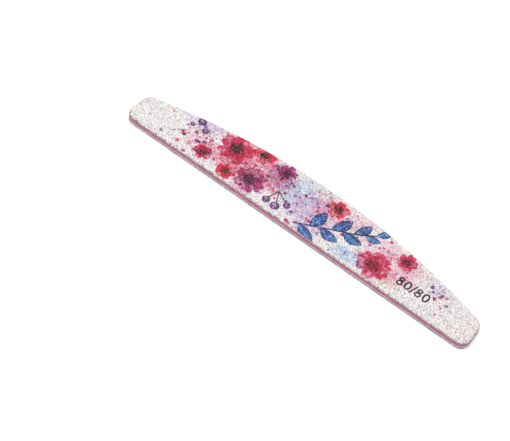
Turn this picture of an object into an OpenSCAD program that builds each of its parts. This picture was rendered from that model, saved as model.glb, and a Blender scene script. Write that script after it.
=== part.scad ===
// Half-moon emery board with a foam cushion: a stiff plastic core between two foam
// pads, each faced with coarse abrasive paper. All layers share one die-cut outline.
// Millimetres. X runs along the board, Y from the straight edge to the curved edge,
// Z through the layers. The origin is the middle of the lower face.

/* [Outline] */
// Length of the board, end to end
board_length = 178; // [150:1:200]
// Greatest width, from the straight edge to the top of the curved edge
board_width = 28; // [24:0.5:32]
// Width at the ends, before the corners are rounded
end_width = 14.8; // [12:0.2:17]
// Lean of each end towards the middle, in degrees from square
end_lean = 5.3; // [2:0.1:9]
// Corner radius where an end meets the straight edge
straight_corner_r = 4.5; // [2:0.25:5]
// Corner radius where an end meets the curved edge
curved_corner_r = 4; // [2:0.25:5]

/* [Layers] */
// Thickness of the plastic core plate
core_thickness = 1.8; // [0.8:0.05:2]
// Thickness of the adhesive film on each side of the core
core_adhesive_thickness = 0.05; // [0.03:0.01:0.1]
// Thickness of each foam pad
foam_thickness = 0.55; // [0.4:0.05:1.5]
// Thickness of the adhesive film under each abrasive paper
paper_adhesive_thickness = 0.05; // [0.03:0.01:0.1]
// Thickness of the backing paper of each abrasive face
paper_thickness = 0.2; // [0.15:0.01:0.4]
// Thickness of the bonded grains on each face, to the tips of the grains
grit_thickness = 0.25; // [0.15:0.01:0.4]

/* [Hidden] */

$fn = 96;

// Each corner circle is this much too large, so that it crosses the edges that it rounds
// and leaves no sliver where they touch
corner_lap = 0.001;

// Layers of one side, from the core outwards
side_layers = [
    core_adhesive_thickness, foam_thickness, paper_adhesive_thickness,
    paper_thickness, grit_thickness
];

// Height of the first count layers of one side, measured from the core's face
function stack_height(count) = count == 0 ? 0 : side_layers[count - 1] + stack_height(count - 1);

middle_z = stack_height(len(side_layers)) + core_thickness / 2;

// Straight edge on Y = 0: half its length if its corners were sharp
sharp_half_length =
    board_length / 2 + straight_corner_r * ((1 + sin(end_lean)) / cos(end_lean) - 1);

// The curved edge is one arc, through its top and both sharp upper corners
sharp_end_x = sharp_half_length - end_width * tan(end_lean);
arc_rise = board_width - end_width;
arc_r = (sharp_end_x ^ 2 + arc_rise ^ 2) / (2 * arc_rise);
arc_y = board_width - arc_r;

// Outward and upward directions of the right-hand end, which leans inwards
end_out = [cos(end_lean), sin(end_lean)];
end_up = [-sin(end_lean), cos(end_lean)];

// Corner circle that touches the straight edge and the end
straight_corner = [board_length / 2 - straight_corner_r, straight_corner_r];

// Corner circle that touches the end and the curved edge: it stays its own radius inside
// the end, at the distance from the arc's centre that leaves the same radius to the arc
curved_corner_out = sharp_half_length * cos(end_lean) - curved_corner_r;
curved_corner_up = arc_y * cos(end_lean)
    + sqrt((arc_r - curved_corner_r) ^ 2 - (curved_corner_out - arc_y * sin(end_lean)) ^ 2);
curved_corner = end_out * curved_corner_out + end_up * curved_corner_up;
curved_touch = [0, arc_y] + (curved_corner - [0, arc_y]) * arc_r / (arc_r - curved_corner_r);

// Right-hand side of the board, from the straight edge up to where the arc cuts it off
right_side = [
    [straight_corner.x, 0],
    straight_corner + end_out * straight_corner_r,
    curved_corner + end_out * curved_corner_r,
    curved_touch,
    [curved_touch.x, board_width]
];
left_side = [for (i = [len(right_side) - 1 : -1 : 0]) [-right_side[i].x, right_side[i].y]];

module corner_circles() {
    translate(straight_corner) circle(r = straight_corner_r + corner_lap);
    translate(curved_corner) circle(r = curved_corner_r + corner_lap);
}

module outline() {
    translate([0, -board_width / 2]) {
        intersection() {
            polygon(concat(right_side, left_side));
            translate([0, arc_y]) circle(r = arc_r, $fn = 720);
        }
        corner_circles();
        mirror([1, 0]) corner_circles();
    }
}

// Layer number index of one side, counted from the core: side is 1 above it, -1 below
module side_layer(index, side) {
    thickness = side_layers[index];
    from_middle = core_thickness / 2 + stack_height(index) + thickness / 2;
    translate([0, 0, middle_z + side * from_middle])
        linear_extrude(thickness, center = true) outline();
}

module core_plate() {
    color([0.89, 0.47, 0.68])
        translate([0, 0, middle_z]) linear_extrude(core_thickness, center = true) outline();
}

module core_adhesive(side) {
    color([0.93, 0.93, 0.88]) side_layer(0, side);
}

module foam_pad(side) {
    color([0.95, 0.95, 0.94]) side_layer(1, side);
}

module paper_adhesive(side) {
    color([0.93, 0.93, 0.88]) side_layer(2, side);
}

module backing_paper(side) {
    color([0.72, 0.66, 0.58]) side_layer(3, side);
}

module grit_coat(side) {
    color([0.89, 0.85, 0.86]) side_layer(4, side);
}

core_plate();
core_adhesive(1);  // core_adhesive_top
core_adhesive(-1);  // core_adhesive_bottom
foam_pad(1);  // foam_pad_top
foam_pad(-1);  // foam_pad_bottom
paper_adhesive(1);  // paper_adhesive_top
paper_adhesive(-1);  // paper_adhesive_bottom
backing_paper(1);  // backing_paper_top
backing_paper(-1);  // backing_paper_bottom
grit_coat(1);  // grit_coat_top
grit_coat(-1);  // grit_coat_bottom
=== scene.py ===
import math
import bpy
import numpy as np
from mathutils import Matrix, Vector


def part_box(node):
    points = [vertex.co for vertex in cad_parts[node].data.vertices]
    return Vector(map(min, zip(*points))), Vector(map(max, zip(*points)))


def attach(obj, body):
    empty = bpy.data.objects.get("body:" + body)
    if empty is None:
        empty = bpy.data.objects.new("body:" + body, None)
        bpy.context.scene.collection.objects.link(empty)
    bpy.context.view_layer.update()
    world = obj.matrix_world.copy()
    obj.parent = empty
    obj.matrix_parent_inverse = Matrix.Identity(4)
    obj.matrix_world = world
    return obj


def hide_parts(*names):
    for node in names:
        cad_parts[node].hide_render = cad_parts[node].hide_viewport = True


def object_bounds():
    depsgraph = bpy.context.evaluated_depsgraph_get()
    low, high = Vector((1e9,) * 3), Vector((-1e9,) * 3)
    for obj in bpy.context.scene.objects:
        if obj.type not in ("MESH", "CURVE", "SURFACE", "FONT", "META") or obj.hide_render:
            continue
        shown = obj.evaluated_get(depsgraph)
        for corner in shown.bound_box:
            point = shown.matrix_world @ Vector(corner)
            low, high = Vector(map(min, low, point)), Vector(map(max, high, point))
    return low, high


# A half-moon emery board: a printed abrasive face on each side of a foam-cushioned plastic core.
# Shapes are worked out in millimetres from the middle of the lower face, and made in metres.
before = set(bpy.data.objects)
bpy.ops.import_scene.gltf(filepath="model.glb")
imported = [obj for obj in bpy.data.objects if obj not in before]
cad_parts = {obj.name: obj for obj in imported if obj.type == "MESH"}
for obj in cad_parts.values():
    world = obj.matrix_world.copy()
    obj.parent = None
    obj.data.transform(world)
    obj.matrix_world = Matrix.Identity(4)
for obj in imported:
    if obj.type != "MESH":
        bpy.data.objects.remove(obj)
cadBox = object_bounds()
mm = 0.001  # one millimetre, in metres
body = "root"


def levelsOf(node):  # lowest and highest level of a CAD node, in mm
    low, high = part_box(node)
    return low.z / mm, high.z / mm


# Outline

lowCorner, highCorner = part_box("core_plate")
outlineShape = {
    "length": (highCorner.x - lowCorner.x) / mm,
    "width": (highCorner.y - lowCorner.y) / mm,
    "endWidth": 14.8,  # mm, before the corners are rounded
    "endLean": math.radians(5.3),  # each end leans towards the middle
    "straightRadius": 4.5,  # corner between the straight edge and an end
    "curvedRadius": 4.0,  # corner between an end and the curved edge
}
straightEdgeY = lowCorner.y / mm
boardTop = cadBox[1][2] / mm


def outlineDiscs(shape):
    # The outline as discs that roll along it: each row is a disc's centre, radius and the direction
    # in which it touches the outline. Between two rows all four change evenly, which draws a line
    # or an arc. The rows run from the middle of the straight edge to the top of the curved edge.
    lean, rs, rc = shape["endLean"], shape["straightRadius"], shape["curvedRadius"]
    sharpX = shape["length"] / 2 + rs * ((1 + math.sin(lean)) / math.cos(lean) - 1)
    sharpEndX = sharpX - shape["endWidth"] * math.tan(lean)
    rise = shape["width"] - shape["endWidth"]
    arcRadius = (sharpEndX ** 2 + rise ** 2) / (2 * rise)
    arcY = shape["width"] - arcRadius
    straightX = shape["length"] / 2 - rs
    out = sharpX * math.cos(lean) - rc
    up = arcY * math.cos(lean) + math.sqrt((arcRadius - rc) ** 2 - (out - arcY * math.sin(lean)) ** 2)
    curvedX = out * math.cos(lean) - up * math.sin(lean)
    curvedY = out * math.sin(lean) + up * math.cos(lean)
    touch = math.atan2(curvedY - arcY, curvedX)
    down = -math.pi / 2
    return np.array([
        (0, rs, rs, down),
        (straightX, rs, rs, down),
        (straightX, rs, rs, lean),
        (curvedX, curvedY, rc, lean),
        (curvedX, curvedY, rc, touch),
        (0, arcY, arcRadius, touch),
        (0, arcY, arcRadius, math.pi / 2),
    ])


discs = outlineDiscs(outlineShape)
cornerRows = ((1, 2), (3, 4))  # first and last row of each corner's arc
endRow = 3  # its disc touches the outline at the top of the end
curveRow = 5  # its disc is the circle of the curved edge
discEnds = discs[:, :2] + discs[:, 2:3] * np.stack([np.cos(discs[:, 3]), np.sin(discs[:, 3])], 1)
straightRuns = np.hypot(*np.diff(discEnds, axis=0).T)
turns = np.diff(discs[:, 3])
runs = np.where(turns > 0, discs[:-1, 2] * turns, straightRuns)
reach = np.concatenate([[0], np.cumsum(runs)])  # distance along the outline to each row
halfWay = reach[-1]
wholeWay = 2 * halfWay
# Distances along the outline to the middle of each corner
straightCornerAt, curvedCornerAt = (reach[list(rows)].mean() for rows in cornerRows)


def outlineAt(along, inset=0.0):
    # Points at distances along the outline, moved inwards by inset along the normal. The left half
    # mirrors the right half.
    along = np.mod(along, wholeWay)
    mirrored = along > halfWay
    t = np.where(mirrored, wholeWay - along, along)
    cx, cy, radius, turn = (np.interp(t, reach, column) for column in discs.T)
    x = cx + (radius - inset) * np.cos(turn)
    y = cy + (radius - inset) * np.sin(turn)
    return np.where(mirrored, -x, x), y + straightEdgeY


def rimDistance(x, y):
    # Distance from a point on the board to the outline: the least of the distances to the straight
    # edge, the end and the curved edge, or inside a corner's sector the distance to its arc.
    x = np.abs(x)
    y = y - straightEdgeY
    lean = outlineShape["endLean"]
    endOut = discEnds[endRow] @ (math.cos(lean), math.sin(lean))
    toEnd = endOut - x * math.cos(lean) - y * math.sin(lean)
    toCurve = discs[curveRow, 2] - np.hypot(x, y - discs[curveRow, 1])
    nearest = np.minimum(np.minimum(y, toEnd), toCurve)
    for first, last in cornerRows:
        cx, cy, radius, start = discs[first]
        turn = np.arctan2(y - cy, x - cx)
        inSector = (turn > start) & (turn < discs[last, 3])
        nearest = np.where(inSector, radius - np.hypot(x - cx, y - cy), nearest)
    return nearest


print("outline:", round(wholeWay, 2), "mm round")


# Random fields

cloudLook = {
    "firstTurn": 0.5,  # radians
    "turns": 7,  # how many angles the lattices take, a radian apart
    "reach": 2.2,  # lengths of the board that a turned lattice covers
    "wrappedRows": 64,
}
rippleLook = {"fineShare": 0.35, "fineness": 2.3}


def smooth(low, high, value):  # S-curve from 0 at low to 1 at high
    t = np.clip((value - low) / (high - low), 0, 1)
    return t * t * (3 - 2 * t)


def cloud(x, y, size, seed, wrap=None):
    # Smooth random values from 0 to 1: seeded numbers on a square lattice whose step is size,
    # blended by an S-curve. The lattice is turned by the seed, or repeats along x after wrap.
    rng = np.random.default_rng(seed)
    if wrap:
        columns = max(1, round(wrap / size))
        rows = cloudLook["wrappedRows"]
        u, v = x * columns / wrap, y / size
    else:
        columns = int(cloudLook["reach"] * outlineShape["length"] / size) + 2
        rows = columns
        turn = cloudLook["firstTurn"] + seed % cloudLook["turns"]
        u = (x * math.cos(turn) - y * math.sin(turn)) / size
        v = (x * math.sin(turn) + y * math.cos(turn)) / size
    lattice = rng.random((columns, rows))
    i, j = np.floor(u).astype(int), np.floor(v).astype(int)
    fu, fv = smooth(0, 1, u - i), smooth(0, 1, v - j)
    a, b = i % columns, (i + 1) % columns
    c, d = j % rows, (j + 1) % rows
    low = lattice[a, c] * (1 - fu) + lattice[b, c] * fu
    high = lattice[a, d] * (1 - fu) + lattice[b, d] * fu
    return low * (1 - fv) + high * fv


def ripple(x, y, size, seed):  # a cloud with a finer one over it, still from 0 to 1
    fineShare = rippleLook["fineShare"]
    fine = cloud(x, y, size / rippleLook["fineness"], seed + 1)
    return (1 - fineShare) * cloud(x, y, size, seed) + fineShare * fine


# Meshes

rowCrowding = 0.09 / math.pi  # share of the width by which a grid's rows close up towards the rims


def gridPoints(columns, rows, inset):
    # The whole face as a grid: its four sides are the outline's stretches between the middles of the
    # corners, and inside, each point is the sum of the two blends of opposite sides less the blend
    # of the four corners.
    along, up = np.linspace(0, 1, columns), np.linspace(0, 1, rows)
    up = up - rowCrowding * np.sin(4 * np.pi * up)
    span = 2 * straightCornerAt * along - straightCornerAt
    lowSide = np.stack(outlineAt(span, inset(span)), 1)
    span = wholeWay - curvedCornerAt + (2 * curvedCornerAt - wholeWay) * along
    highSide = np.stack(outlineAt(span, inset(span)), 1)
    span = straightCornerAt + (curvedCornerAt - straightCornerAt) * up
    rightSide = np.stack(outlineAt(span, inset(span)), 1)
    leftSide = np.stack(outlineAt(wholeWay - span, inset(wholeWay - span)), 1)
    u, v = along[None, :, None], up[:, None, None]
    grid = (1 - v) * lowSide[None] + v * highSide[None]
    grid = grid + (1 - u) * leftSide[:, None] + u * rightSide[:, None]
    grid -= (1 - u) * (1 - v) * lowSide[0] + u * (1 - v) * lowSide[-1]
    grid -= (1 - u) * v * highSide[0] + u * v * highSide[-1]
    return grid


def ringOf(columns, rows):
    # Indices of a grid's outer points, anticlockwise from its first point.
    low = np.arange(columns)
    right = (np.arange(1, rows) + 1) * columns - 1
    high = (rows - 1) * columns + np.arange(columns - 2, -1, -1)
    left = np.arange(rows - 2, 0, -1) * columns
    return np.concatenate([low, right, high, left])


def ringSpan(columns, rows):
    # Distances along the outline of the same outer points.
    low = np.linspace(-straightCornerAt, straightCornerAt, columns)
    right = np.linspace(straightCornerAt, curvedCornerAt, rows)[1:]
    high = np.linspace(curvedCornerAt, wholeWay - curvedCornerAt, columns)[1:]
    left = np.linspace(wholeWay - curvedCornerAt, wholeWay - straightCornerAt, rows)[1:-1]
    return np.concatenate([low, right, high, left])


def capFaces(ring, columns, rows, upwards):
    # A flat lid on a ring: quads across from the straight edge to the curved one, and one polygon
    # at each end.
    low = ring[:columns]
    right = ring[columns - 1:columns + rows - 1]
    high = ring[columns + rows - 2:2 * columns + rows - 2][::-1]
    left = np.append(ring[2 * columns + rows - 3:], ring[0])
    quads = np.stack([low[:-1], low[1:], high[1:], high[:-1]], 1)
    faces = quads.tolist() + [right.tolist(), left.tolist()]
    return faces if upwards else [face[::-1] for face in faces]


def wallFaces(upper, lower):
    # Quads round two rings of as many points, one above the other.
    return np.stack([lower, np.roll(lower, -1), np.roll(upper, -1), upper], 1).tolist()


def turnOver(points):
    # The same shape for the lower side: half a turn about the line across the board at half its
    # length and half its thickness.
    return points * (-1, 1, -1) + (0, 0, boardTop)


def makePiece(name, points, faces, material):
    # A mesh object made from millimetres, which rides on the board and takes the given material.
    mesh = bpy.data.meshes.new(name)
    mesh.from_pydata((points * mm).tolist(), [], faces)
    mesh.update()
    piece = bpy.data.objects.new(name, mesh)
    bpy.context.scene.collection.objects.link(piece)
    mesh.materials.append(material)
    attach(piece, body)
    return piece


def addValues(piece, name, values):
    # A number or a colour for each vertex, which the materials read by name.
    kind = "FLOAT_COLOR" if values.ndim == 2 else "FLOAT"
    layer = piece.data.attributes.new(name, kind, "POINT")
    if values.ndim == 2:
        values = np.concatenate([values, np.ones((len(values), 1))], 1)
    layer.data.foreach_set("color" if values.ndim == 2 else "value", values.astype(np.float32).ravel())


def addUv(piece, u, v):  # one UV for each corner of each face
    layer = piece.data.uv_layers.new(name="OFBake")
    layer.data.foreach_set("uv", np.stack([u, v], 1).astype(np.float32).ravel())


def faceCorners(piece):
    # For every face corner its vertex, and for every face its number of corners.
    mesh = piece.data
    corners = np.zeros(len(mesh.loops), int)
    mesh.loops.foreach_get("vertex_index", corners)
    sizes = np.zeros(len(mesh.polygons), int)
    mesh.polygons.foreach_get("loop_total", sizes)
    return corners, sizes


def faceMeans(values, sizes):  # the mean of each face's corners, once for each corner
    starts = np.concatenate([[0], np.cumsum(sizes)[:-1]])
    return np.repeat(np.add.reduceat(values, starts) / sizes, sizes)


# Materials

def addNode(tree, kind, inputs=None, **settings):
    # A shader node: an input that comes from another node is linked, and any other is set.
    made = tree.nodes.new(kind)
    for name, value in settings.items():
        setattr(made, name, value)
    for socket, value in (inputs or {}).items():
        if isinstance(value, bpy.types.NodeSocket):
            tree.links.new(value, made.inputs[socket])
        else:
            made.inputs[socket].default_value = value
    return made


def calculate(tree, operation, first, second):  # one sum with two values
    return addNode(tree, "ShaderNodeMath", {0: first, 1: second}, operation=operation).outputs[0]


def rescale(tree, value, fromLow, fromHigh, toLow, toHigh, kind="LINEAR"):
    # A value carried from one range to another, and held at the ends of the second.
    given = {"Value": value, 1: fromLow, 2: fromHigh, 3: toLow, 4: toHigh}
    return addNode(tree, "ShaderNodeMapRange", given, interpolation_type=kind).outputs[0]


def mixColours(tree, share, first, second, kind="MIX"):
    # In a mix of colours, inputs 0, 6 and 7 are the share and the two colours.
    given = {0: share, 6: first, 7: second}
    return addNode(tree, "ShaderNodeMix", given, data_type="RGBA", blend_type=kind).outputs[2]


def shadeColour(tree, colour, tone):  # a colour times a tone or another colour
    return mixColours(tree, 1.0, colour, tone, "MULTIPLY")


def addNoise(tree, place, perMetre, roughness):  # cloudy values, mostly from 0.3 to 0.7
    given = {"Vector": place, "Scale": perMetre, "Detail": 3.0, "Roughness": roughness}
    return addNode(tree, "ShaderNodeTexNoise", given).outputs[0]


def readValues(tree, name):  # what addValues gave each vertex
    return addNode(tree, "ShaderNodeAttribute", attribute_name=name).outputs


def newGroup(name, inputs, outputs):
    # An empty shader node group, with its inputs and outputs to be joined up inside.
    tree = bpy.data.node_groups.new(name, "ShaderNodeTree")
    for label, kind, value in inputs:
        socket = tree.interface.new_socket(label, in_out="INPUT", socket_type=kind)
        if value is not None:
            socket.default_value = value
    for label, kind in outputs:
        tree.interface.new_socket(label, in_out="OUTPUT", socket_type=kind)
    return tree, tree.nodes.new("NodeGroupInput").outputs, tree.nodes.new("NodeGroupOutput").inputs


def makeGrainGroup():
    # Fine speckle: noise of a set size, stretched between a low and a high tone, and the same noise
    # as a height.
    tree, given, result = newGroup(
        "fineSpeckle",
        [("Position", "NodeSocketVector", None), ("Per metre", "NodeSocketFloat", 3000.0),
         ("Low", "NodeSocketFloat", 0.8), ("High", "NodeSocketFloat", 1.1)],
        [("Tone", "NodeSocketFloat"), ("Height", "NodeSocketFloat")])
    noise = addNoise(tree, given["Position"], given["Per metre"], 0.6)
    tone = rescale(tree, noise, 0.3, 0.7, given["Low"], given["High"])
    tree.links.new(tone, result["Tone"])
    tree.links.new(noise, result["Height"])
    return tree


def makeSoilGroup():
    # Ragged border in patches: 1 at the rim, falling to 0 at a distance that fine noise stretches
    # and that coarse noise shrinks to almost nothing between the patches.
    look = {
        "patches": (780.0, 0.65),  # noise per metre, and its roughness
        "patchEdge": (0.45, 0.60),  # levels of that noise outside and inside a patch
        "fray": (2400.0, 0.7),  # noise per metre, and its roughness
        "stretch": (0.35, 0.65, 0.1, 1.6),  # levels of that noise, and the stretch that they give
        "between": 0.18,  # share of the width that is left between the patches
        "fade": (0.55, 1.2),  # shares of the width where the border starts and stops to fade
    }
    tree, given, result = newGroup(
        "raggedRim",
        [("Position", "NodeSocketVector", None), ("Distance", "NodeSocketFloat", 1.0),
         ("Width", "NodeSocketFloat", 0.5)],
        [("Mask", "NodeSocketFloat"), ("Patch", "NodeSocketFloat")])
    coarse = addNoise(tree, given["Position"], *look["patches"])
    patch = rescale(tree, coarse, *look["patchEdge"], 0.0, 1.0, "SMOOTHSTEP")
    fine = addNoise(tree, given["Position"], *look["fray"])
    stretch = rescale(tree, fine, *look["stretch"])
    kept = rescale(tree, patch, 0.0, 1.0, look["between"], 1.0)
    spread = calculate(tree, "MULTIPLY", stretch, kept)
    width = calculate(tree, "MULTIPLY", given["Width"], spread)
    share = calculate(tree, "DIVIDE", given["Distance"], width)
    mask = rescale(tree, share, *look["fade"], 1.0, 0.0, "SMOOTHSTEP")
    tree.links.new(mask, result["Mask"])
    tree.links.new(calculate(tree, "MULTIPLY", patch, stretch), result["Patch"])
    return tree


grainGroup = makeGrainGroup()
soilGroup = makeSoilGroup()


def newMaterial(name):
    # A material with its shader, and the place of each point on the object.
    material = bpy.data.materials.new(name)
    material.use_nodes = True
    tree = material.node_tree
    tree.nodes.clear()
    output = addNode(tree, "ShaderNodeOutputMaterial")
    shader = addNode(tree, "ShaderNodeBsdfPrincipled")
    tree.links.new(shader.outputs[0], output.inputs["Surface"])
    place = addNode(tree, "ShaderNodeTexCoord").outputs["Object"]
    return material, tree, shader, place


def speckle(tree, place, perMetre, low, high):  # the fine speckle with its own values
    made = addNode(tree, "ShaderNodeGroup", node_tree=grainGroup)
    tree.links.new(place, made.inputs["Position"])
    for socket, value in (("Per metre", perMetre), ("Low", low), ("High", high)):
        made.inputs[socket].default_value = value
    return made.outputs


def addBorder(tree, place):  # the ragged border
    made = addNode(tree, "ShaderNodeGroup", node_tree=soilGroup)
    tree.links.new(place, made.inputs["Position"])
    return made


def relief(tree, shader, height, depth, strength):  # bump, with its depth in millimetres
    given = {"Strength": strength, "Distance": depth * mm, "Height": height}
    made = addNode(tree, "ShaderNodeBump", given)
    tree.links.new(made.outputs[0], shader.inputs["Normal"])


def gritMaterial(name, soilAndShade):
    # Ink times grain tone over the off-white size coat, numerals in black where their distance is
    # below zero, and a border in the soil's colour where the cut has bared the paper and the glue.
    # On the lower side that border colour is painted shadow with a bluish painted reflection.
    look = {
        "base": (0.91, 0.857, 0.857, 1),
        "grain": (5200.0, 0.90, 1.08),  # per metre, low and high tone
        "black": (0.018, 0.016, 0.019, 1),
        "blackShare": 0.985,
        "blackFade": 0.10,  # mm on each side of a numeral's edge
        "blackFray": (2600.0, -0.22, 0.22),  # per metre, and how far the edge moves, in mm
        "soilWidth": 0.85,  # mm
        "soilShare": 0.92,
        "dirt": (0.075, 0.07, 0.05, 1),
        "dirtShare": (0.5, 1.2, 0.0, 0.85),  # levels of the soil's patches, and the dirt in them
        "roughness": (0.35, 0.65, 0.38, 0.72),  # levels of the grain, and what they give
        "specular": 0.25,
        "relief": (0.04, 0.6),  # depth in mm, and strength
    }
    material, tree, shader, place = newMaterial(name)
    grain = speckle(tree, place, *look["grain"])
    shade = calculate(tree, "MULTIPLY", readValues(tree, "tone")["Fac"], grain["Tone"])
    colour = shadeColour(tree, look["base"], readValues(tree, "ink")["Color"])
    colour = shadeColour(tree, colour, shade)
    fray = speckle(tree, place, *look["blackFray"])["Tone"]
    edge = calculate(tree, "ADD", readValues(tree, "numeral")["Fac"], fray)
    fade = look["blackFade"]
    inked = rescale(tree, edge, -fade, fade, look["blackShare"], 0.0, "SMOOTHSTEP")
    colour = mixColours(tree, inked, colour, look["black"])
    border = addBorder(tree, place)
    tree.links.new(readValues(tree, "rim")["Fac"], border.inputs["Distance"])
    border.inputs["Width"].default_value = look["soilWidth"]
    dirt = rescale(tree, border.outputs["Patch"], *look["dirtShare"])
    soiled = mixColours(tree, dirt, soilAndShade, look["dirt"])
    mask = calculate(tree, "MULTIPLY", border.outputs["Mask"], look["soilShare"])
    colour = mixColours(tree, mask, colour, soiled)
    tree.links.new(colour, shader.inputs["Base Color"])
    rough = rescale(tree, grain["Height"], *look["roughness"])
    tree.links.new(rough, shader.inputs["Roughness"])
    shader.inputs["Specular IOR Level"].default_value = look["specular"]
    relief(tree, shader, grain["Height"], *look["relief"])
    return material


def paperMaterial(name, light, dark):
    # Cut paper edge: pale fibres, with dark glue stains in the same patches as the soiled rim, and
    # a grime that comes and goes along the cut.
    look = {
        "fibres": (6000.0, 0.8, 1.15),  # per metre, low and high tone
        "grime": (200.0, 0.2, 1.75),
        "roughness": 0.9,
        "relief": (0.05, 0.7),  # depth in mm, and strength
    }
    material, tree, shader, place = newMaterial(name)
    stains = addBorder(tree, place).outputs["Patch"]
    fibres = speckle(tree, place, *look["fibres"])
    grime = speckle(tree, place, *look["grime"])
    colour = mixColours(tree, stains, light, dark)
    colour = shadeColour(tree, colour, fibres["Tone"])
    colour = shadeColour(tree, colour, grime["Tone"])
    tree.links.new(colour, shader.inputs["Base Color"])
    shader.inputs["Roughness"].default_value = look["roughness"]
    relief(tree, shader, fibres["Height"], *look["relief"])
    return material


def foamMaterial():
    # White closed-cell foam, cut, painted greyer and bluer as shade on its cut side: fine open cells
    # with painted shade inside, and pink dust that the die has dragged over from the core, which also
    # paints pink reflected light and shade from the core.
    look = {
        # painted shade: the white foam darkened and made bluer for its shaded cut side
        "base": (0.62, 0.69, 0.74, 1),
        # pink of the core's dust, which also paints pink reflected light and shade
        "pinkDustAndShade": (0.50, 0.08, 0.23, 1),
        "cells": 7500.0,  # per metre
        # painted shade: each open cell darker towards its middle
        "shadedHollows": (0.1, 0.55, 0.86, 1.08),  # distances from a cell's middle, and their tones
        "coarse": (700.0, 0.60, 1.32),  # per metre, low and high tone
        "roughness": 0.85,
        "relief": (0.05, 0.5),  # depth in mm, and strength
    }
    material, tree, shader, place = newMaterial("cutFoam")
    cells = addNode(tree, "ShaderNodeTexVoronoi", {"Vector": place, "Scale": look["cells"]})
    shadedHollows = rescale(tree, cells.outputs["Distance"], *look["shadedHollows"])
    coarse = speckle(tree, place, *look["coarse"])
    colour = mixColours(tree, readValues(tree, "pinkDustAndShade")["Fac"], look["base"], look["pinkDustAndShade"])
    colour = shadeColour(tree, colour, shadedHollows)
    colour = shadeColour(tree, colour, coarse["Tone"])
    tree.links.new(colour, shader.inputs["Base Color"])
    shader.inputs["Roughness"].default_value = look["roughness"]
    relief(tree, shader, cells.outputs["Distance"], *look["relief"])
    return material


def coreMaterial():
    # Pink plastic, sheared by the die: the upper part of the edge is burnished and deep, the lower
    # part has torn whitish, and fine streaks run through the thickness. Both pinks are painted darker
    # than the plastic's own pink, as painted shade on the cut side.
    look = {
        # painted shade: both pinks are darker than the plastic's own colour
        "deep": (0.50, 0.055, 0.20, 1),
        "pale": (0.71, 0.38, 0.55, 1),
        "fine": (3500.0, 0.88, 1.08),  # per metre, low and high tone
        "streaks": (0.86, 1.1),  # low and high tone
        "roughness": (0.42, 0.7),  # burnished and torn
        "relief": (0.03, 0.3),  # depth in mm, and strength
    }
    material, tree, shader, place = newMaterial("shearedPlastic")
    torn = readValues(tree, "torn")["Fac"]
    fine = speckle(tree, place, *look["fine"])
    streaks = rescale(tree, readValues(tree, "streak")["Fac"], 0.0, 1.0, *look["streaks"])
    colour = mixColours(tree, torn, look["deep"], look["pale"])
    colour = shadeColour(tree, colour, calculate(tree, "MULTIPLY", streaks, fine["Tone"]))
    tree.links.new(colour, shader.inputs["Base Color"])
    rough = rescale(tree, torn, 0.0, 1.0, *look["roughness"])
    tree.links.new(rough, shader.inputs["Roughness"])
    relief(tree, shader, fine["Height"], *look["relief"])
    return material


def adhesiveMaterial():
    # Dried film of adhesive: cloudy, slightly yellow, catching dust.
    look = {
        "base": (0.62, 0.60, 0.54, 1),
        "clouds": (1500.0, 0.75, 1.1),  # per metre, low and high tone
        "roughness": (0.3, 0.7, 0.3, 0.6),  # levels of the clouds, and what they give
    }
    material, tree, shader, place = newMaterial("adhesiveFilm")
    clouds = speckle(tree, place, *look["clouds"])
    colour = shadeColour(tree, look["base"], clouds["Tone"])
    tree.links.new(colour, shader.inputs["Base Color"])
    rough = rescale(tree, clouds["Height"], *look["roughness"])
    tree.links.new(rough, shader.inputs["Roughness"])
    return material


# Print on the abrasive

inks = {  # shares of red, green and blue that each full ink leaves
    "crimson": (0.78, 0.012, 0.15),
    "red": (0.92, 0.03, 0.10),
    "rose": (0.42, 0.01, 0.14),
    "pink": (0.92, 0.20, 0.43),
    "peach": (0.98, 0.55, 0.33),
    "heart": (0.025, 0.012, 0.025),
    "plum": (0.09, 0.012, 0.13),
    "purple": (0.17, 0.03, 0.28),
    "magenta": (0.50, 0.025, 0.30),
    "navy": (0.018, 0.010, 0.09),
    "blue": (0.018, 0.16, 0.50),
    "sky": (0.20, 0.58, 0.94),
    "lilac": (0.64, 0.40, 0.78),
}


def lay(paint, mask, ink):
    # Ink over what is there: each channel is multiplied down to the ink's share.
    paint *= 1 - np.clip(mask, 0, 1)[:, None] * (1 - np.array(inks[ink]))


def layNear(paint, near, mask, ink):  # the same on some of the points only
    part = paint[near]
    lay(part, mask, ink)
    paint[near] = part


def wash(paint, x, y, ink, centre, size, strength, seed):
    # A pool of thin colour: an ellipse with a wandering edge, stronger in clouds, and a faint line
    # where the wet edge has dried.
    look = {
        "wander": 0.9,  # of the edge, in shares of the pool's half size, as are the next three
        "fade": (0.45, 1.0),
        "dryLine": 0.86,
        "dryWidth": 0.05,
        "dryInk": 0.25,
        "cloudSize": 2.2,  # mm
        "cloudLeast": 0.25,
        "bareSize": 0.75,  # mm, of the spots that took less ink
        "bareShare": 0.7,
    }
    across = np.hypot((x - centre[0]) / size[0], (y - centre[1]) / size[1])
    across = across + look["wander"] * (ripple(x, y, 0.5 * min(size), seed) - 0.5)
    pool = 1 - smooth(*look["fade"], across)
    dried = np.exp(-((across - look["dryLine"]) / look["dryWidth"]) ** 2)
    clouds = look["cloudLeast"] + ripple(x, y, look["cloudSize"], seed + 3)
    bare = smooth(0.50, 0.75, cloud(x, y, look["bareSize"], seed + 5))
    depth = (pool * clouds + look["dryInk"] * dried) * (1 - look["bareShare"] * bare)
    lay(paint, strength * depth, ink)


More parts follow.
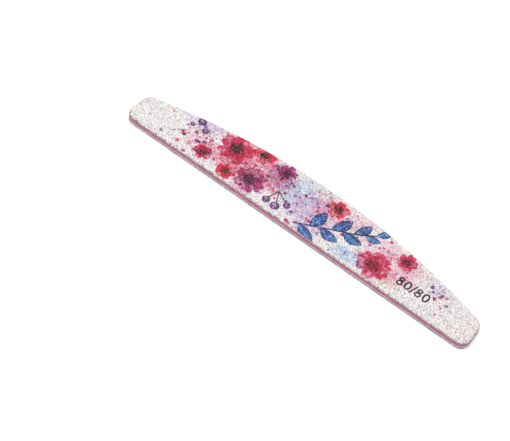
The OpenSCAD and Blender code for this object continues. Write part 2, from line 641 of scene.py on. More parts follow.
def blossom(paint, x, y, ink, heart, centre, radius, petals, seed):
    # Notched petals: the flower's radius rises and falls with the angle and dips in the middle of
    # each petal. The ink is deep at the rim and the heart and thins out in pale clouds between
    # them, with veins and blots. A darker inner ring of petals follows, then a dappled heart and
    # stamens round it.
    look = {
        "waist": 0.66,  # radius between two petals, and the next three, in shares of the radius
        "notch": 0.14,
        "wander": 0.30,
        "heartEdge": (0.26, 0.42),
        "notchWidth": 0.08,  # share of a petal's angle
        "veins": 5,  # on each petal
        "blotSize": 1.2,  # mm, as are the next three
        "paleSize": 2.4,
        "dappleSize": 0.62,
        "stamenEdge": (0.18, 0.46),
        "stamens": 18,
    }
    rng = np.random.default_rng(seed)
    near = np.hypot(x - centre[0], y - centre[1]) < 1.4 * radius
    dx, dy = x[near] - centre[0], y[near] - centre[1]
    away, turn = np.hypot(dx, dy), np.arctan2(dy, dx) + 6 * rng.random()
    phase = np.mod(turn * petals / (2 * np.pi), 1) - 0.5
    lobe = (1 - look["waist"]) * np.abs(np.cos(np.pi * phase)) ** 0.7
    edge = look["waist"] + lobe - look["notch"] * np.exp(-(phase / look["notchWidth"]) ** 2)
    edge = edge + look["wander"] * (ripple(dx, dy, 0.35 * radius, seed + 5) - 0.5)
    share = away / (radius * edge)
    blots = ripple(dx, dy, look["blotSize"], seed + 6)
    veins = 0.5 + 0.5 * np.cos(turn * petals * look["veins"] + 4 * blots)
    pale = smooth(0.48, 0.72, ripple(dx, dy, look["paleSize"], seed + 9))
    pale = pale * smooth(0.98, 0.80, share) * smooth(0.35, 0.6, share)
    depth = (0.90 + 0.30 * blots) * (0.94 + 0.10 * veins) * (1 - 0.55 * pale)
    layNear(paint, near, (1 - smooth(0.94, 1.04, share)) * depth, ink)
    inner = share + 0.30 * np.abs(np.cos(np.pi * (phase + 0.5))) + 0.4 * (blots - 0.5)
    layNear(paint, near, (1 - smooth(0.52, 0.62, inner)) * (0.35 + 0.7 * blots), "rose")
    dapples = smooth(0.36, 0.52, cloud(dx, dy, look["dappleSize"], seed + 7))
    inward, outward = (radius * share for share in look["heartEdge"])
    middle = 1 - smooth(inward, outward, away + 0.3 * radius * (blots - 0.5))
    layNear(paint, near, middle * (0.45 + 0.6 * dapples), heart)
    for spoke in np.linspace(0, 2 * np.pi, look["stamens"], endpoint=False):
        lean = spoke + 0.3 * rng.random()
        out = radius * (0.40 + 0.20 * rng.random())
        dot = np.hypot(dx - out * math.cos(lean), dy - out * math.sin(lean))
        layNear(paint, near, 0.95 * (1 - smooth(*look["stamenEdge"], dot)), heart)


def leafShape(paint, x, y, root, turn, length, width, seed):
    # A pointed leaf: its half width follows a sine from root to tip. The middle vein and the side
    # veins stay pale, the rim is dark, and the ink pools in blots.
    look = {
        "bend": 0.25,  # share of the half width
        "blotSize": 0.9,  # mm
        "glintSize": 0.6,  # mm
        "veinWidth": 0.10,  # share of the half width
        "sideVeins": 6,
        "sideLean": 1.6,  # how far the side veins run forwards on their way out
        "rimEdge": (0.58, 0.88),  # shares of the half width
    }
    dx, dy = x - root[0], y - root[1]
    u = (dx * math.cos(turn) + dy * math.sin(turn)) / length
    v = (dy * math.cos(turn) - dx * math.sin(turn)) / width * 2
    near = (u > -0.05) & (u < 1.05) & (np.abs(v) < 1.4)
    u, v = u[near], v[near] + look["bend"] * np.sin(np.pi * u[near])
    blots = ripple(x[near], y[near], look["blotSize"], seed)
    half = np.maximum(np.sin(np.pi * np.clip(u, 0, 1)) ** 0.85, 0.001)
    share = np.abs(v) / half
    inside = 1 - smooth(0.88, 1.08, share + 0.2 * (blots - 0.5))
    rimInk = smooth(*look["rimEdge"], share + 0.7 * (blots - 0.5))
    sideTurn = 2 * np.pi * (u * look["sideVeins"] - look["sideLean"] * np.abs(v))
    sideVeins = (0.5 + 0.5 * np.cos(sideTurn)) ** 4
    vein = np.maximum(np.exp(-(v / look["veinWidth"]) ** 2), 0.8 * sideVeins)
    glints = smooth(0.55, 0.75, cloud(x[near], y[near], look["glintSize"], seed + 1))
    depth = (0.90 + 0.3 * blots) * (1 - 0.7 * vein) * (1 - 0.75 * glints)
    layNear(paint, near, inside * (0.75 + 0.4 * blots), "sky")
    layNear(paint, near, inside * depth, "blue")
    layNear(paint, near, inside * rimInk, "navy")


def brushLine(paint, x, y, ink, points, width, strength):
    # A brush line through points: full ink within half its width, and a soft edge.
    nearest = np.full(x.shape, 99.0)
    for start, end in zip(points[:-1], points[1:]):
        nearest = np.minimum(nearest, distanceToPiece(x, y, start, end))
    lay(paint, strength * (1 - smooth(0.3 * width, 0.8 * width, nearest)), ink)


def distanceToPiece(x, y, start, end):  # distance from points to a straight piece
    ax, ay = start
    bx, by = end[0] - ax, end[1] - ay
    t = np.clip(((x - ax) * bx + (y - ay) * by) / (bx ** 2 + by ** 2), 0, 1)
    return np.hypot(x - ax - t * bx, y - ay - t * by)


def berry(paint, x, y, ink, centre, radius, seed):
    # A round drop: darkest round its rim, with a pale glint up and to the left of its middle.
    look = {
        "blotSize": 0.7,  # mm
        "glintAt": (-0.3, 0.35),  # shares of the radius
        "glintSize": 0.28,
        "glintShare": 0.75,
    }
    dx, dy = x - centre[0], y - centre[1]
    near = np.hypot(dx, dy) < 1.6 * radius
    dx, dy = dx[near], dy[near]
    blots = cloud(dx, dy, look["blotSize"], seed)
    away = np.hypot(dx, dy) / radius + 0.25 * (blots - 0.5)
    glintX, glintY = (radius * share for share in look["glintAt"])
    glint = np.exp(-((dx - glintX) ** 2 + (dy - glintY) ** 2) / (look["glintSize"] * radius) ** 2)
    depth = (1 - smooth(0.85, 1.1, away)) * (0.78 + 0.3 * smooth(0.3, 0.9, away))
    depth = depth * (1 - look["glintShare"] * glint) * (0.8 + 0.5 * blots)
    layNear(paint, near, depth, ink)


def spatter(paint, x, y, choice, centre, spread, count, sizes, seed):
    # Flicked drops: closer together near the centre, few of them large, each a disc of one ink.
    rng = np.random.default_rng(seed)
    for far, way, swell, which, strength in rng.random((count, 5)):
        out = math.sqrt(-2 * math.log(1 - 0.93 * far))
        cx = centre[0] + spread[0] * out * math.cos(2 * math.pi * way)
        cy = centre[1] + spread[1] * out * math.sin(2 * math.pi * way)
        size = sizes[0] + (sizes[1] - sizes[0]) * swell ** 3
        near = (np.abs(x - cx) < 2 * size) & (np.abs(y - cy) < 2 * size)
        away = np.hypot(x[near] - cx, y[near] - cy) / size
        drop = (0.55 + 0.6 * strength) * (1 - smooth(0.75, 1.15, away))
        layNear(paint, near, drop, choice[int(which * len(choice))])


def sprig(paint, x, y, points, seed):
    # A stem with leaves that stand off it on alternate sides, smaller and closer to it towards its
    # tip.
    look = {
        "stemWidth": 0.7,  # mm
        "leaves": 8,
        "firstLeaf": 0.08,  # share of the stem's length
        "lengths": (11.5, 8.0),  # mm, from root to tip
        "widths": (5.6, 3.8),
        "leans": (1.0, 0.35),  # radians from the stem
    }
    rng = np.random.default_rng(seed)
    brushLine(paint, x, y, "navy", points, look["stemWidth"], 0.97)
    points = np.array(points, float)
    for number, along in enumerate(np.linspace(look["firstLeaf"], 1.0, look["leaves"])):
        spot = min(along * (len(points) - 1), len(points) - 1.001)
        start, end = points[int(spot)], points[int(spot) + 1]
        root = start + (end - start) * (spot - int(spot))
        lead = math.atan2(end[1] - start[1], end[0] - start[0])
        length, width, lean = (
            look[name][0] + (look[name][1] - look[name][0]) * along
            for name in ("lengths", "widths", "leans"))
        side = 1 if number % 2 else -1
        turn = lead + side * (lean + 0.3 * (rng.random() - 0.5))
        grown = 0.85 + 0.3 * rng.random()
        leafShape(paint, x, y, root, turn, grown * length, grown * width, seed + number)


printLayout = {  # millimetres from the middle of the board, strength last
    "washes": [
        ("pink", (-51, -5), (15, 8), 0.80), ("pink", (-31, 1), (20, 15), 1.0),
        ("crimson", (-37, -2), (12, 9), 0.65), ("lilac", (-60, 5), (11, 5), 0.75),
        ("magenta", (-18, 3), (10, 9), 0.70), ("sky", (-8, 4), (12, 9), 0.55),
        ("lilac", (3, -4), (17, 10), 0.95), ("pink", (12, 5), (16, 9), 0.75),
        ("magenta", (2, 8), (9, 5), 0.45), ("sky", (27, -9), (11, 5), 0.60),
        ("pink", (41, -1), (16, 12), 0.95), ("magenta", (42, -8), (8, 5), 0.40),
        ("peach", (47, -8), (7, 4), 0.70), ("peach", (-35, 11), (7, 3), 0.60),
        ("lilac", (66, 3), (9, 4), 0.45)],
    "spatters": [
        (("magenta", "crimson", "purple"), (-55, -2), (11, 6), 70, (0.3, 1.25)),
        (("red", "purple", "magenta"), (-22, 0), (15, 8), 90, (0.25, 1.1)),
        (("crimson", "magenta", "purple"), (6, 1), (14, 8), 120, (0.2, 1.0)),
        (("crimson", "magenta"), (34, 3), (9, 6), 50, (0.2, 0.9)),
        (("magenta", "magenta", "purple"), (68, 0), (4, 2.5), 20, (0.35, 1.1)),
        (("red", "crimson"), (75, -7), (5, 3), 9, (0.25, 0.7))],
    "blossoms": [  # with the number of petals
        ("crimson", "plum", (-52, -7.4), 4.4, 5), ("magenta", "plum", (-18.5, 8.4), 5.2, 6),
        ("red", "heart", (-31, 9.4), 5.2, 4), ("crimson", "heart", (-42.5, 4.2), 8.4, 5),
        ("magenta", "purple", (-28, -5.6), 7.4, 6), ("red", "plum", (-38.5, -9.2), 4.6, 5),
        ("red", "heart", (9.5, 7.8), 5.0, 5), ("crimson", "plum", (47, 5.2), 4.8, 5),
        ("crimson", "rose", (37, -5.6), 8.0, 6)],
    "berries": [
        ("plum", (-62, 5.6), 2.0), ("purple", (-58, 2.4), 1.6), ("plum", (-64.4, 1.8), 1.2),
        ("purple", (-12, -9.4), 2.2), ("plum", (-16.8, -9), 1.9), ("purple", (-8.2, -5.8), 1.7)],
    "stems": [
        ((-15, -2), (-12.4, -7.4)), ((-15, -2), (-16.6, -7.4)), ((-15, -2), (-9.4, -4.8))],
    "sprig": [(-1, -11), (6, -7), (14, -2.5), (22, 2), (29.5, 7.6)],
}


def paintPrint(x, y, seed):
    # Watercolour blossoms, berries and a leafy sprig over pale washes, as the share of light that
    # each point leaves.
    paint = np.ones((len(x), 3))
    for number, (ink, centre, size, strength) in enumerate(printLayout["washes"]):
        wash(paint, x, y, ink, centre, size, strength, seed + 10 * number)
    for number, (choice, centre, spread, count, sizes) in enumerate(printLayout["spatters"]):
        spatter(paint, x, y, choice, centre, spread, count, sizes, seed + 200 + number)
    for number, (ink, heart, centre, radius, petals) in enumerate(printLayout["blossoms"]):
        blossom(paint, x, y, ink, heart, centre, radius, petals, seed + 300 + 10 * number)
    for start, end in printLayout["stems"]:
        brushLine(paint, x, y, "plum", [start, end], 0.5, 0.95)
    for ink, centre, radius in printLayout["berries"]:
        berry(paint, x, y, ink, centre, radius, seed + 400)
    sprig(paint, x, y, printLayout["sprig"], seed + 420)
    return paint


def ringDistance(x, y, wide, tall, half):
    # Distance to an oval stroke of half width half, roughly: how far the point's share of the oval
    # is from one, over how fast that share grows there.
    a, b = wide / 2 - half, tall / 2 - half
    share = np.maximum(np.hypot(x / a, y / b), 1e-6)
    growth = np.maximum(np.hypot(x / a ** 2, y / b ** 2) / share, 1e-6)
    return np.abs((share - 1) / growth) - half


def numeralDistance(x, y):
    # The grade, 80/80, as distances to its strokes, in mm, below zero inside. An eight is a small
    # oval on a larger one, and the bar between the two numbers leans to the right.
    look = {
        "start": 50.3,  # middle of the first figure
        "middle": -4.45,  # of the figures' height
        "height": 4.85,
        "half": 0.40,  # half the stroke's width
        "step": 3.66,  # from figure to figure
        "bar": 2.77,  # from a figure to the bar
        "barReach": (0.72, 2.4),  # from the bar's middle to its end
        "barHalf": 0.34,
        "zeroWidth": 3.05,
        "upper": (2.66, 0.51, 0.245),  # width, and height and place as shares of the height
        "lower": (3.05, 0.59, -0.205),
    }
    y, half, tall = y - look["middle"], look["half"], look["height"]
    barX = look["start"] + look["step"] + look["bar"]
    barLean, barTall = look["barReach"]
    barEnds = (barX - barLean, -barTall), (barX + barLean, barTall)
    nearest = distanceToPiece(x, y, *barEnds) - look["barHalf"]
    for first in (look["start"], barX + look["bar"]):
        for width, share, place in (look["upper"], look["lower"]):
            oval = ringDistance(x - first, y - place * tall, width, share * tall, half)
            nearest = np.minimum(nearest, oval)
        zero = ringDistance(x - first - look["step"], y, look["zeroWidth"], tall, half)
        nearest = np.minimum(nearest, zero)
    return nearest


# Abrasive faces

gritLook = {
    "columns": 800,
    "rows": 112,
    "jitter": 0.25,  # shares of a cell that a point moves each way
    "lumps": ((0.95, 0.30), (0.42, 0.45), (0.23, 0.25)),  # size in mm, and share of the height
    "height": (0.22, 0.74),  # least height, and how much the lumps add, in shares of the layer
    "wear": (0.3, 0.5, 1.3),  # mm: least reach from the rim, how much more, and size of the patches
    "worn": 0.7,  # share of the height that wear leaves at the rim
    "rimShare": 0.8,  # share of that which the cut leaves at the outermost points
    "rimLeast": 0.02,  # mm that they keep at least
    "rimInset": (0.02, 0.24),  # mm, how far the cut has chipped the coat back
    "chips": ((0.8, 0.6), (0.35, 0.4)),  # size in mm, and share of that depth
    "coatShades": ((1.18, 0.61), (0.85, 0.19), (0.28, 0.20)),  # shade, and share of the points
    "bareness": 0.25,  # share of the print that the barest point lacks
    "grainSize": (0.13, 0.30),  # mm
    "grainStep": 0.44,  # mm between the large grains
    "grainShades": ((1.22, 0.53), (0.78, 0.25), (0.20, 0.22)),
    "grainCover": ((1.0, 0.80), (0.93, 0.13), (0.5, 0.07)),  # print that a grain takes, and share
    "curvedRim": (0.0, 4.0),  # mm across the board, where the soil starts to narrow, and stops
    "endRim": (80.0, 86.0),  # mm along the board, where it widens again
    "narrowing": (3.0, 1.6),  # how many times narrower it gets, along the curve and at the ends
}
gritLow, gritHigh = levelsOf("grit_coat_top")


def coatHeight(x, y, seed):
    # Height of the coat over the paper: lumps of grains in three sizes, sunk and worn near the rim.
    sizes = enumerate(gritLook["lumps"])
    lumps = sum(share * cloud(x, y, size, seed + number) for number, (size, share) in sizes)
    least, more = gritLook["height"]
    height = (gritHigh - gritLow) * (least + more * smooth(0.25, 0.75, lumps))
    nearest, further, size = gritLook["wear"]
    reached = nearest + further * cloud(x, y, size, seed + 4)
    whole = smooth(-0.05, reached, rimDistance(x, y))
    return height * (gritLook["worn"] + (1 - gritLook["worn"]) * whole)


def coatTone(x, y, seed):
    # Brightness of the grains: pale for the most part, greyer in the pits between them.
    look = {
        "pitSize": 0.27,  # mm
        "pitShade": 0.40,  # share of the light that a pit takes
        "lumpSizes": (1.1, 0.24),  # mm
        "lumpShares": (0.3, 0.7),
        "tones": (0.86, 1.10),
    }
    pits = smooth(0.62, 0.92, cloud(x, y, look["pitSize"], seed + 7))
    sizes = enumerate(zip(look["lumpSizes"], look["lumpShares"]))
    lumps = sum(share * cloud(x, y, size, seed + 8 + number) for number, (size, share) in sizes)
    low, high = look["tones"]
    return (low + (high - low) * lumps) * (1 - look["pitShade"] * pits)


def pickValues(rng, choice, count):  # a random value for each point, with the shares given
    values, shares = zip(*choice)
    return rng.choice(values, count, p=shares)


def gritUv(piece, flat, hidden):
    # The left and right halves of the face are laid out one above the other. The last faces, hidden
    # ones, lie over them.
    look = {"leftAt": 0.01, "rightAt": 0.345, "hiddenAt": 0.68, "height": 0.32, "margin": 0.005}
    corners, sizes = faceCorners(piece)
    x, y = flat[corners, 0], flat[corners, 1] - straightEdgeY
    half, width = outlineShape["length"] / 2, outlineShape["width"]
    isRight = faceMeans(x, sizes) > 0
    isHidden = np.repeat(np.arange(len(sizes)) >= len(sizes) - hidden, sizes)
    u = np.where(isHidden, (x + half) / (2 * half), (x + np.where(isRight, 0, half)) / half)
    shownAt = np.where(isRight, look["rightAt"], look["leftAt"])
    low = np.where(isHidden, look["hiddenAt"], shownAt)
    margin = look["margin"]
    addUv(piece, margin + (1 - 2 * margin) * u, low + look["height"] * y / width)


def gritSheet(name, seed, turned, material):
    # The coat as one sheet: a grid over the whole outline, raised by the coat's height, with walls
    # down to the paper. Each cell is split along either diagonal at random, so the grain has no way.
    rng = np.random.default_rng(seed)
    columns, rows = gritLook["columns"], gritLook["rows"]
    least, most = gritLook["rimInset"]

    def inset(span):
        sizes = enumerate(gritLook["chips"])
        chips = sum(share * cloud(span, 0 * span, size, seed + 20 + number, wholeWay) ** 2
                    for number, (size, share) in sizes)
        return least + (most - least) * chips

    grid = gridPoints(columns, rows, inset)
    cell = np.array([outlineShape["length"] / columns, outlineShape["width"] / rows])
    shift = gritLook["jitter"] * (rng.random(grid.shape) * 2 - 1) * cell
    shift[[0, -1]] = 0
    shift[:, [0, -1]] = 0
    flat = (grid + shift).reshape(-1, 2)
    x, y = flat.T
    height = coatHeight(x, y, seed + 30)
    ring = ringOf(columns, rows)
    height[ring] = gritLook["rimShare"] * height[ring] + gritLook["rimLeast"]
    top = np.stack([x, y, gritLow + height], 1)
    foot = np.stack([x[ring], y[ring], np.full(len(ring), gritLow)], 1)
    points = np.concatenate([top, foot])
    flat = np.concatenate([flat, flat[ring]])
    first = (np.arange(rows - 1)[:, None] * columns + np.arange(columns - 1)).ravel()
    cells = np.stack([first, first + 1, first + columns + 1, first + columns], 1)
    cells = np.where(rng.random((len(cells), 1)) < 0.5, np.roll(cells, 1, axis=1), cells)
    faces = np.concatenate([cells[:, [0, 1, 2]], cells[:, [0, 2, 3]]]).tolist()
    footRing = len(top) + np.arange(len(ring))
    shown = len(faces)
    faces += wallFaces(ring, footRing)
    faces += capFaces(footRing, columns, rows, False)
    piece = makePiece(name, turnOver(points) if turned else points, faces, material)
    cover = 1 - gritLook["bareness"] * rng.random(len(flat)) ** 5
    tone = coatTone(*flat.T, seed + 30) * pickValues(rng, gritLook["coatShades"], len(flat))
    addGritValues(piece, flat, seed, tone, cover, len(faces) - shown)
    return piece


def addGritValues(piece, flat, seed, tone, cover, hidden=0):
    # The print covers each point by its own share, as bare grains and pits take less of it. The
    # distance to the rim is stretched where the soil is narrow: along the curved edge, and less so
    # at the ends.
    x, y = flat.T
    alongCurve, atEnds = gritLook["narrowing"]
    narrowing = alongCurve + (atEnds - alongCurve) * smooth(*gritLook["endRim"], np.abs(x))
    narrowing = 1 + (narrowing - 1) * smooth(*gritLook["curvedRim"], y)
    addValues(piece, "ink", 1 - (1 - paintPrint(x, y, seed + 500)) * cover[:, None])
    addValues(piece, "numeral", numeralDistance(x, y))
    addValues(piece, "rim", rimDistance(x, y) * narrowing)
    addValues(piece, "tone", tone)
    gritUv(piece, flat, hidden)


def randomTurns(rng, count):
    # Rotation matrices from random unit quaternions.
    q = rng.normal(size=(count, 4))
    w, x, y, z = (q / np.linalg.norm(q, axis=1, keepdims=True)).T
    return np.stack([
        np.stack([1 - 2 * (y * y + z * z), 2 * (x * y - z * w), 2 * (x * z + y * w)], 1),
        np.stack([2 * (x * y + z * w), 1 - 2 * (x * x + z * z), 2 * (y * z - x * w)], 1),
        np.stack([2 * (x * z - y * w), 2 * (y * z + x * w), 1 - 2 * (x * x + y * y)], 1),
    ], 1)


def gritGrains(name, seed, turned, material):
    # The largest grains as eight-sided crystals, nearly half sunk in the coat: one in each cell of a
    # square lattice, moved, turned and stretched at random.
    look = {
        "stretch": (0.7, 1.25),
        "roughness": 0.25,  # how far a tip moves, in shares of the grain's size
        "lift": 0.25,  # of the middle over the coat, in shares of the grain's height
        "clearance": 0.002,  # mm under the top of the coat
        "rimGap": (0.35, 0.75),  # mm
    }
    tips = np.array([(1, 0, 0), (0, 1, 0), (-1, 0, 0), (0, -1, 0), (0, 0, 1), (0, 0, -1)], float)
    sides = [(0, 1, 4), (1, 2, 4), (2, 3, 4), (3, 0, 4), (1, 0, 5), (2, 1, 5), (3, 2, 5), (0, 3, 5)]
    rng = np.random.default_rng(seed + 7000)
    step = gritLook["grainStep"]
    half, width = outlineShape["length"] / 2, outlineShape["width"]
    latticeX, latticeY = np.meshgrid(np.arange(-half, half, step), np.arange(0, width, step))
    x = (latticeX + step * (rng.random(latticeX.shape) - 0.5)).ravel()
    y = (latticeY + step * (rng.random(latticeX.shape) - 0.5)).ravel() + straightEdgeY
    leastGap, mostGap = look["rimGap"]
    kept = rimDistance(x, y) > leastGap + (mostGap - leastGap) * rng.random(x.shape) ** 2
    x, y = x[kept], y[kept]
    count = len(x)
    low, high = gritLook["grainSize"]
    size = (low + (high - low) * rng.random((count, 1)) ** 1.5) / 2
    size = size * rng.uniform(*look["stretch"], (count, 3))
    shape = tips + look["roughness"] * (rng.random((count, len(tips), 3)) - 0.5)
    shape = np.einsum("nij,nkj->nki", randomTurns(rng, count), shape * size[:, None])
    rise = shape[:, :, 2].max(1)
    centre = gritLow + coatHeight(x, y, seed + 30) + look["lift"] * rise
    centre = np.minimum(centre, gritHigh - rise - look["clearance"])
    points = (shape + np.stack([x, y, centre], 1)[:, None]).reshape(-1, 3)
    first = len(tips) * np.arange(count)[:, None, None]
    faces = (first + np.array(sides)).reshape(-1, 3).tolist()
    tone = coatTone(x, y, seed + 30) * pickValues(rng, gritLook["grainShades"], count)
    cover = pickValues(rng, gritLook["grainCover"], count)
    piece = makePiece(name, turnOver(points) if turned else points, faces, material)
    flat = np.repeat(np.stack([x, y], 1), len(tips), axis=0)
    addGritValues(piece, flat, seed, np.repeat(tone, len(tips)), np.repeat(cover, len(tips)))
    print(name, count, "grains")


# Layers seen in the cut edge

layerLook = {"columns": 800, "rows": 64}


def edgeUv(piece, spans, shares, lidFaces):
    # The edge is cut into lengths, laid out one above the other, and both lids in a thin strip over
    # them.
    look = {
        "lengths": 4,
        "first": 0.01,
        "step": 0.24,
        "height": 0.22,
        "lidAt": 0.975,
        "lidHeight": 0.02,
        "margin": 0.01,
    }
    corners, sizes = faceCorners(piece)
    along = spans[corners] + straightCornerAt
    wraps = np.abs(along - faceMeans(along, sizes)) > wholeWay / 8
    along = np.where(wraps & (along < wholeWay / 2), along + wholeWay, along)
    lengths = look["lengths"]
    row = np.clip(np.floor(lengths * faceMeans(along, sizes) / wholeWay), 0, lengths - 1)
    u = lengths * along / wholeWay - row
    v = look["first"] + look["step"] * row + look["height"] * shares[corners]
    number = np.repeat(np.arange(len(sizes)), sizes)
    isLid = (number < lidFaces) | (number >= len(sizes) - lidFaces)
    places = np.zeros(3 * len(piece.data.vertices))
    piece.data.vertices.foreach_get("co", places)
    x, y = (places.reshape(-1, 3)[corners, :2] / mm).T
    across = (y - straightEdgeY) / outlineShape["width"]
    u = np.where(isLid, x / outlineShape["length"] + 0.5, u)
    v = np.where(isLid, look["lidAt"] + look["lidHeight"] * across, v)
    addUv(piece, look["margin"] + (1 - 2 * look["margin"]) * u, v)


def layeredEdge(name, node, levels, inset, material):
    # A layer as a stack of rings: inset gives how far each point lies inside the outline, for its
    # distance along it and its share of the layer's thickness.
    low, high = levelsOf(node)
    span = ringSpan(layerLook["columns"], layerLook["rows"])
    points = []
    for share in levels:
        x, y = outlineAt(span, inset(span, share))
        points.append(np.stack([x, y, np.full(len(x), low + (high - low) * share)], 1))
    count = len(span)
    rings = [k * count + np.arange(count) for k in range(len(levels))]
    lid = capFaces(rings[0], layerLook["columns"], layerLook["rows"], False)
    faces = list(lid)
    for lower, upper in zip(rings[:-1], rings[1:]):
        faces += wallFaces(upper, lower)
    faces += capFaces(rings[-1], layerLook["columns"], layerLook["rows"], True)
    piece = makePiece(name, np.concatenate(points), faces, material)
    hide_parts(node)
    spans = np.tile(span, len(levels))
    shares = np.repeat(levels, count)
    edgeUv(piece, spans, shares, len(lid))
    return piece, spans, shares


def streaks(span, seed, size):  # one-way roughness along the edge, from -1 to 1
    return 2 * cloud(span, 0 * span, size, seed, wholeWay) - 1


def coreEdge(material):
    # Sheared plastic: rounded over at both faces, burnished in the upper part of the cut, torn back
    # in the lower part, with fine scores down the whole thickness.
    look = {
        "depth": 0.045,  # mm inside the outline, as are the next three
        "corner": 0.05,
        "scores": 0.016,
        "tornDepth": 0.06,
        "least": 0.005,
        "tornFrom": 0.42,  # share of the thickness, as are the next two
        "tornWander": (0.07, 0.05),
        "tornEdge": 0.06,
    }
    levels = np.array([0, 0.03, 0.1, 0.2, 0.3, 0.4, 0.45, 0.5, 0.6, 0.7, 0.8, 0.9, 0.97, 1])

    def tornShare(span, share):
        slow, quick = look["tornWander"]
        line = look["tornFrom"] + slow * streaks(span, 301, 3.1) + quick * streaks(span, 302, 0.7)
        return 1 - smooth(-look["tornEdge"], look["tornEdge"], share - line)

    def inset(span, share):
        corner = look["corner"] * (smooth(0.9, 1.0, share) + smooth(0.1, 0.0, share))
        scores = look["scores"] * (streaks(span, 303, 0.45) + 0.6 * streaks(span, 304, 0.9))
        rough = cloud(span, share * 1.5 + 0 * span, 0.3, 305, wholeWay)
        torn = look["tornDepth"] * tornShare(span, share) * rough
        return np.maximum(look["depth"] + corner + scores + torn, look["least"])

    name, node, slot = "corePlate", "core_plate", "core_plastic"
    piece, spans, shares = layeredEdge(name, node, levels, inset, material)
    addValues(piece, "torn", tornShare(spans, shares))
    addValues(piece, "streak", 0.5 + 0.5 * streaks(spans, 303, 0.45))


def foamEdge(name, node, seed, material):
    # Cut foam: the die has squeezed it, so its side draws in between its two glued faces, and its
    # open cells roughen it. Dust of the core lies on it with painted pink reflected light and shade,
    # thickest next to the core, and much more of it above the core, under the paper's lip, than below.
    look = {
        "depth": 0.05,  # mm inside the outline, as are the next four
        "drawn": 0.22,
        "cells": 0.05,
        "wander": 0.03,
        "least": 0.005,
        # painted pink reflected light and shade with the dust: strong on the upper foam, faint below
        "pinkDustAndShade": {"foam_pad_top": 0.65, "foam_pad_bottom": 0.12},
        "pinkDustAndShadeLoss": 0.75,  # share of the dust that is gone at the face away from the core
    }
    levels = np.array([0, 0.06, 0.18, 0.32, 0.5, 0.68, 0.82, 0.94, 1])

    def inset(span, share):
        drawn = look["drawn"] * np.sin(np.pi * share) ** 0.8
        cells = look["cells"] * cloud(span, share * 0.7 + 0 * span, 0.28, seed, wholeWay)
        wander = look["wander"] * streaks(span, seed + 1, 2.5)
        return np.maximum(look["depth"] + drawn + cells + wander, look["least"])

    piece, spans, shares = layeredEdge(name, node, levels, inset, material)
    fromCore = shares if node == "foam_pad_top" else 1 - shares
    patchy = 0.7 + 0.6 * cloud(spans, 0 * spans, 0.9, seed + 2, wholeWay)
    pinkDustAndShade = look["pinkDustAndShade"][node] * patchy * (1 - look["pinkDustAndShadeLoss"] * fromCore)
    addValues(piece, "pinkDustAndShade", np.clip(pinkDustAndShade, 0, 1))


def paperEdge(name, node, seed, material):
    # Cut paper: ragged along its length, with fibres that reach out to the outline.
    look = {"least": 0.004, "ragged": 0.07, "fibres": 0.06}  # mm inside the outline
    levels = np.array([0, 0.25, 0.5, 0.75, 1])

    def inset(span, share):
        ragged = look["ragged"] * cloud(span, 0 * span, 1.6, seed, wholeWay)
        fibres = look["fibres"] * cloud(span, share * 0.8 + 0 * span, 0.3, seed + 1, wholeWay)
        return look["least"] + ragged + fibres

    layeredEdge(name, node, levels, inset, material)


# Put together

sideLook = {  # soil at the rim of the face, and the cut paper without and with glue stains
    "top": {
        "suffix": "",
        "soilAndShade": (0.41, 0.38, 0.28, 1),
        "paper": ((0.74, 0.67, 0.58, 1), (0.06, 0.055, 0.03, 1)),
        "edgeSeed": 100,
        "gritSeed": 11,
    },
    # painted shadow with a bluish painted reflection: the lower side's rim and cut paper are darker
    # and bluer than the upper side's
    "bottom": {
        "suffix": "ShadedBelow",
        "soilAndShade": (0.14, 0.25, 0.27, 1),
        "paper": ((0.13, 0.31, 0.33, 1), (0.010, 0.035, 0.04, 1)),
        "edgeSeed": 160,
        "gritSeed": 12,
    },
}
grit = {
    side: gritMaterial("printedGrit" + look["suffix"], look["soilAndShade"])
    for side, look in sideLook.items()
}
paper = {
    side: paperMaterial("cutPaper" + look["suffix"], *look["paper"])
    for side, look in sideLook.items()
}
foam = foamMaterial()
plastic = coreMaterial()
adhesive = adhesiveMaterial()
print("materials:", len(bpy.data.materials))

coreEdge(plastic)
for side, look in sideLook.items():
    seed = look["edgeSeed"]
    foamEdge("foamPad_" + side, "foam_pad_" + side, seed + 1, foam)
    paperEdge("backingPaper_" + side, "backing_paper_" + side, seed + 11, paper[side])
    for node in ("core_adhesive_", "paper_adhesive_"):
        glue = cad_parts[node + side].data
        glue.materials.clear()
        glue.materials.append(adhesive)
    print("layers:", side)

for side, look in sideLook.items():
    seed, turned = look["gritSeed"], side == "bottom"
    sheet = gritSheet("gritCoat_" + side, seed, turned, grit[side])
    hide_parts("grit_coat_" + side)
    gritGrains("gritGrains_" + side, seed, turned, grit[side])
    print("abrasive:", side)


# Camera, floor and light

photoView = {
    "imageWidth": 510,  # pixels
    "focalLength": 2400,  # pixels
    "aim": (-13.18, -21.59, 4.0),  # mm, what the middle of the picture shows
    "distance": 1000.5,  # mm
    "azimuth": math.radians(25.82),
    "elevation": math.radians(50.99),
    "roll": math.radians(14.12),
    "sensor": 36.0,  # mm
}
studioLook = {
    "key": {"place": (-0.15, -0.05, 1.15), "aim": (0, 0, 0), "size": 0.6, "power": 7.4},  # m, W
    "world": 0.55,
}


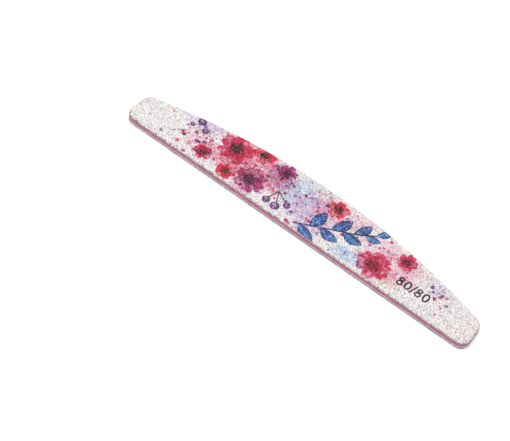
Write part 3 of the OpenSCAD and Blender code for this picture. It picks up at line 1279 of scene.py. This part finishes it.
def addCamera(view):
    # The camera looks at the aim from its azimuth and elevation, turned about its own axis by roll.
    azimuth, elevation, roll = view["azimuth"], view["elevation"], view["roll"]
    back = np.array([math.sin(azimuth) * math.cos(elevation),
                     -math.cos(azimuth) * math.cos(elevation), math.sin(elevation)])
    level = np.array([math.cos(azimuth), math.sin(azimuth), 0.0])
    rise = np.cross(back, level)
    right = math.cos(roll) * level + math.sin(roll) * rise
    up = np.cross(back, right)
    place = (np.array(view["aim"]) + view["distance"] * back) * mm
    lens = bpy.data.cameras.new("camera")
    lens.sensor_width = view["sensor"]
    lens.lens = view["focalLength"] * view["sensor"] / view["imageWidth"]
    lens.clip_start = 0.01
    camera = bpy.data.objects.new("camera", lens)
    bpy.context.scene.collection.objects.link(camera)
    matrix = np.eye(4)
    matrix[:3] = np.stack([right, up, back, place], 1)
    camera.matrix_world = Matrix(matrix.tolist())
    bpy.context.scene.camera = camera


def addFloor():
    # A white paper ground, wide enough to fill the picture, that glows a little and so stays white
    # in the board's own shade.
    look = {
        "half": 6.0,  # metres
        "base": (0.7, 0.7, 0.7, 1),
        "grain": (3.0, 0.985, 1.0),  # per metre, low and high tone
        "glow": 0.42,
        "roughness": 0.9,
        "specular": 0.1,
    }
    half = look["half"]
    corners = [(-half, -half, 0), (half, -half, 0), (half, half, 0), (-half, half, 0)]
    mesh = bpy.data.meshes.new("floor")
    mesh.from_pydata(corners, [], [(0, 1, 2, 3)])
    floor = bpy.data.objects.new("floor", mesh)
    bpy.context.scene.collection.objects.link(floor)
    material, tree, shader, place = newMaterial("floorPaper")
    grain = speckle(tree, place, *look["grain"])
    colour = shadeColour(tree, look["base"], grain["Tone"])
    tree.links.new(colour, shader.inputs["Base Color"])
    shader.inputs["Emission Color"].default_value = (1, 1, 1, 1)
    shader.inputs["Emission Strength"].default_value = look["glow"]
    shader.inputs["Roughness"].default_value = look["roughness"]
    shader.inputs["Specular IOR Level"].default_value = look["specular"]
    mesh.materials.append(material)


def addLight(name, look):  # a round lamp that faces its aim
    lamp = bpy.data.lights.new(name, "AREA")
    lamp.shape = "DISK"
    lamp.size = look["size"]
    lamp.energy = look["power"]
    made = bpy.data.objects.new(name, lamp)
    bpy.context.scene.collection.objects.link(made)
    made.location = look["place"]
    lookWay = Vector(look["aim"]) - made.location
    made.rotation_euler = lookWay.to_track_quat("-Z", "Y").to_euler()


def lightWorld(strength):  # even white light from all round
    world = bpy.data.worlds.new("studio")
    bpy.context.scene.world = world
    world.use_nodes = True
    background = world.node_tree.nodes["Background"]
    background.inputs["Color"].default_value = (1, 1, 1, 1)
    background.inputs["Strength"].default_value = strength


addCamera(photoView)
addFloor()
addLight("keyLight", studioLook["key"])
lightWorld(studioLook["world"])
bpy.context.scene.view_settings.view_transform = "Standard"
print("camera, floor and light")
